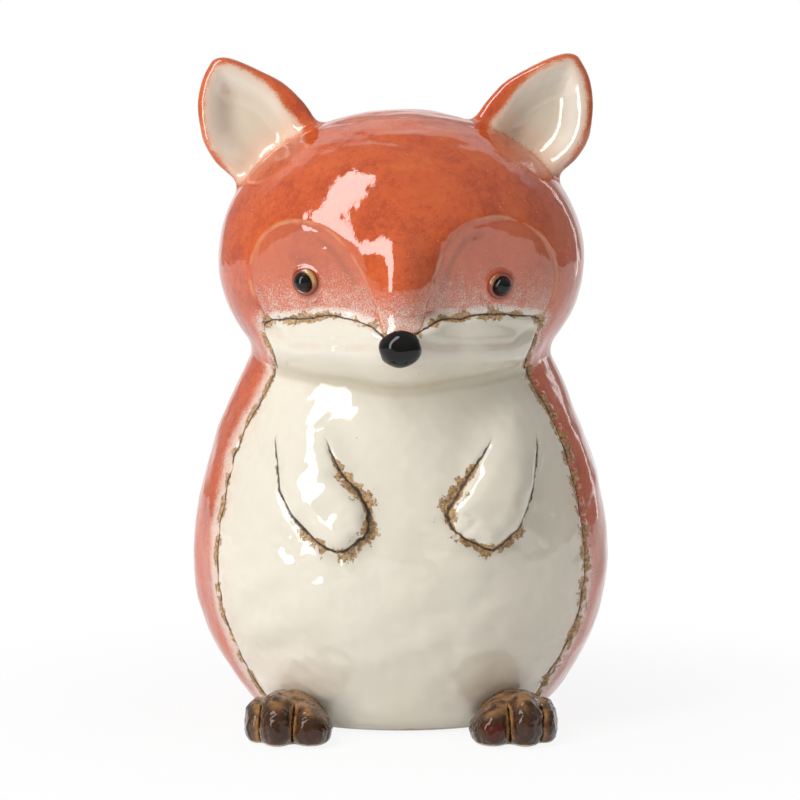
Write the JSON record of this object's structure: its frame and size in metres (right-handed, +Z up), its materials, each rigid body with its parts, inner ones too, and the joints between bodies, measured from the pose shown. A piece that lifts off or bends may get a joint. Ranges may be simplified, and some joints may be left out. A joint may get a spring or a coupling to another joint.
{
  "type": "fox figurine",
  "caption": "Free-standing hollow glazed ceramic fox ornament with a pear-shaped body, round head, cupped ears, relief forepaws and toed feet.",
  "frame": {"origin": "middle of the flat underside, in the plane that the figurine stands on", "axes": "+Z up from the underside to the ears, -Y the way the fox faces, +X the fox's own left"},
  "size_m": [0.152, 0.1594, 0.2402],
  "materials": {
    "rust_glaze": "gloss",
    "cream_glaze": "gloss",
    "ear_glaze": "gloss",
    "black_glaze": "high gloss",
    "amber_glaze": "gloss",
    "brown_glaze": "gloss",
    "bare_clay": "matte, unglazed"
  },
  "bodies": {
    "root": {"coat_shell": "rust_glaze", "crown_shell": "rust_glaze", "tail_brush": "rust_glaze", "left_ear": "ear_glaze", "right_ear": "ear_glaze", "belly_panel": "cream_glaze", "muzzle_pad": "cream_glaze", "left_arm": "cream_glaze", "right_arm": "cream_glaze", "tail_tip": "cream_glaze", "nose_bead": "black_glaze", "left_eye_bead": "black_glaze", "right_eye_bead": "black_glaze", "left_eye_rim": "amber_glaze", "right_eye_rim": "amber_glaze", "base_disc": "bare_clay", "neck_coil": "bare_clay", "left_instep": "brown_glaze", "left_toe_inner": "brown_glaze", "left_toe_middle": "brown_glaze", "left_toe_outer": "brown_glaze", "right_instep": "brown_glaze", "right_toe_inner": "brown_glaze", "right_toe_middle": "brown_glaze", "right_toe_outer": "brown_glaze"}
  },
  "joints": []
}
